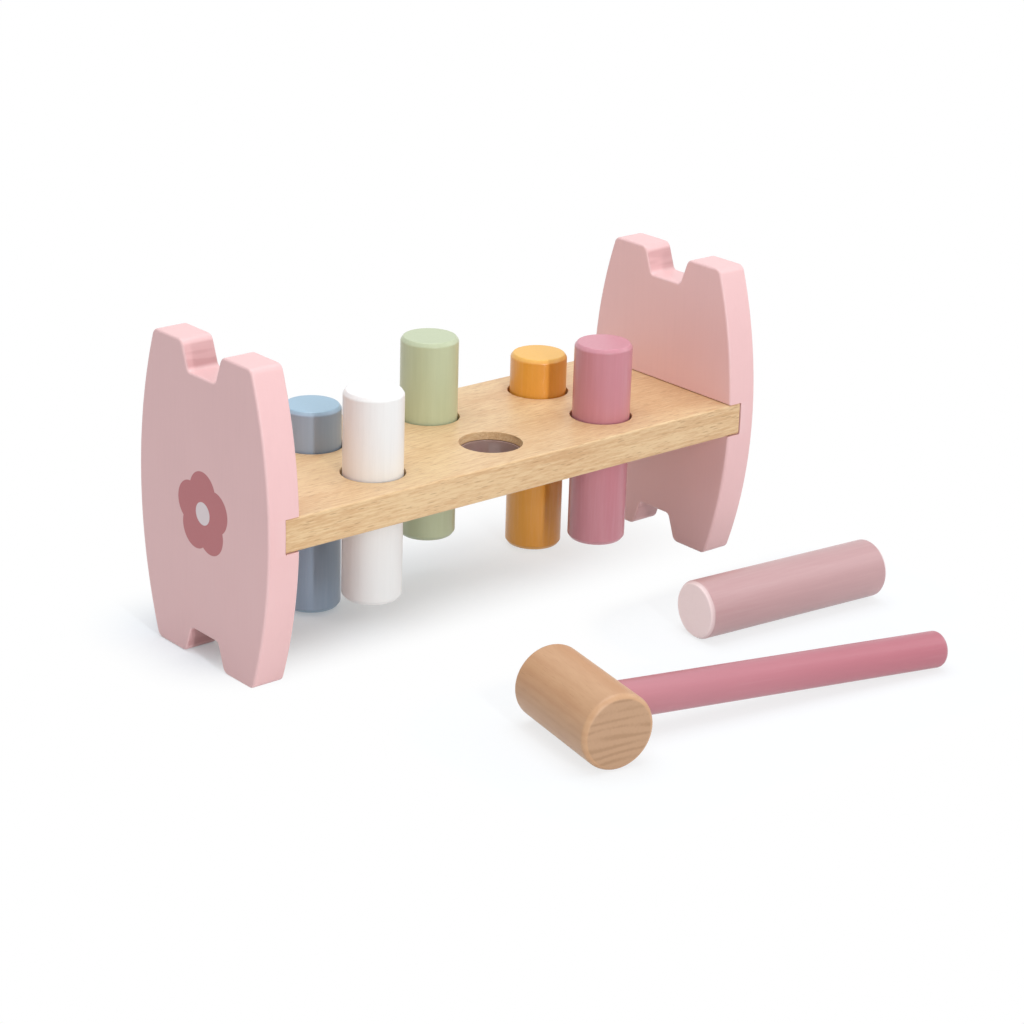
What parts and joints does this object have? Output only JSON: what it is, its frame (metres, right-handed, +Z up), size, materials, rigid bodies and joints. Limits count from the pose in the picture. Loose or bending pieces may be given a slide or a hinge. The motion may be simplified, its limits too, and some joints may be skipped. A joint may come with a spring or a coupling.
{
  "type": "peg pounding bench",
  "caption": "Low toy bench whose board carries round pegs gripped in its holes, between two notched end panels, with a loose peg and a small mallet beside it.",
  "frame": {"origin": "on the floor, under the centre of the whole set's bounding box (bench, loose peg and mallet together)", "axes": "+X along the board from the left end panel to the right one, +Z up, front (loose peg and mallet) at -Y"},
  "size_m": [0.252, 0.2135, 0.122],
  "materials": {
    "beech": "clear satin lacquer over fine straight grain",
    "pink_lacquer": "opaque pale pink satin lacquer",
    "blue_lacquer": "opaque pale blue gloss lacquer",
    "white_lacquer": "opaque white gloss lacquer",
    "green_lacquer": "opaque pale green gloss lacquer",
    "orange_lacquer": "opaque orange gloss lacquer",
    "rose_lacquer": "opaque rose gloss lacquer",
    "pale_pink_lacquer": "opaque pale pink gloss lacquer",
    "handle_lacquer": "opaque rose satin lacquer",
    "grip_rubber": "matt soft rubber"
  },
  "bodies": {
    "bench": {"bench_board": "beech", "left_end_panel": "pink_lacquer", "right_end_panel": "pink_lacquer", "left_front_dowel": "beech", "left_back_dowel": "beech", "right_front_dowel": "beech", "right_back_dowel": "beech", "grip_ring_blue": "grip_rubber", "grip_ring_white": "grip_rubber", "grip_ring_green": "grip_rubber", "grip_ring_orange": "grip_rubber", "grip_ring_rose": "grip_rubber", "grip_ring_empty": "grip_rubber"},
    "blue_peg": {"peg_blue": "blue_lacquer"},
    "white_peg": {"peg_white": "white_lacquer"},
    "green_peg": {"peg_green": "green_lacquer"},
    "orange_peg": {"peg_orange": "orange_lacquer"},
    "rose_peg": {"peg_rose": "rose_lacquer"},
    "loose_peg": {"peg_pale_pink": "pale_pink_lacquer"},
    "mallet": {"mallet_head": "beech", "mallet_handle": "handle_lacquer"}
  },
  "joints": [
    {"name": "blue_peg_slide", "type": "slide", "parent": "bench", "child": "blue_peg", "axis": [0, 0, 1], "range_m": [-0.0013, 0.0689]},
    {"name": "white_peg_slide", "type": "slide", "parent": "bench", "child": "white_peg", "axis": [0, 0, 1], "range_m": [-0.0175, 0.0527]},
    {"name": "green_peg_slide", "type": "slide", "parent": "bench", "child": "green_peg", "axis": [0, 0, 1], "range_m": [-0.0182, 0.052]},
    {"name": "orange_peg_slide", "type": "slide", "parent": "bench", "child": "orange_peg", "axis": [0, 0, 1], "range_m": [-0.0011, 0.0691]},
    {"name": "rose_peg_slide", "type": "slide", "parent": "bench", "child": "rose_peg", "axis": [0, 0, 1], "range_m": [-0.0154, 0.0548]},
    {"name": "loose_peg_lift", "type": "slide", "parent": "bench", "child": "loose_peg", "axis": [0, 0, 1], "range_m": [0, 0.15]},
    {"name": "mallet_lift", "type": "slide", "parent": "bench", "child": "mallet", "axis": [0, 0, 1], "range_m": [0, 0.15]}
  ]
}
